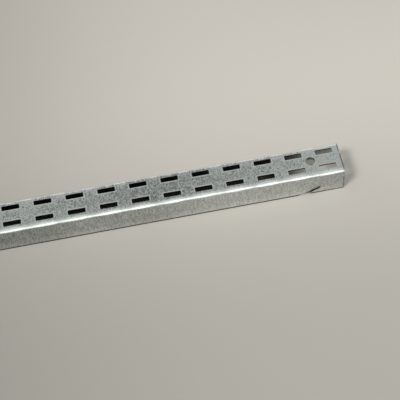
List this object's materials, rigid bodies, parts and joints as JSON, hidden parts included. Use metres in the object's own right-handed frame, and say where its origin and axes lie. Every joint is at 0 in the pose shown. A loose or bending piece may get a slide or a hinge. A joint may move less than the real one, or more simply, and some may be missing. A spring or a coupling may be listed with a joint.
{
  "type": "double track shelf standard",
  "caption": "U-shaped galvanised steel channel with two tracks of rectangular bracket slots, wall screw holes and a hang hook notched into each leg at one end.",
  "frame": {"origin": "middle of the length and width, on the plane of the legs' back edges", "axes": "+X along the length towards the end with the hang hooks, +Z out of the slotted front face"},
  "size_m": [0.6096, 0.0286, 0.0254],
  "materials": {
    "galvanised_steel": "zinc coated, satin, with a fine spangle"
  },
  "bodies": {
    "root": {"shelf_standard": "galvanised_steel"}
  },
  "joints": []
}
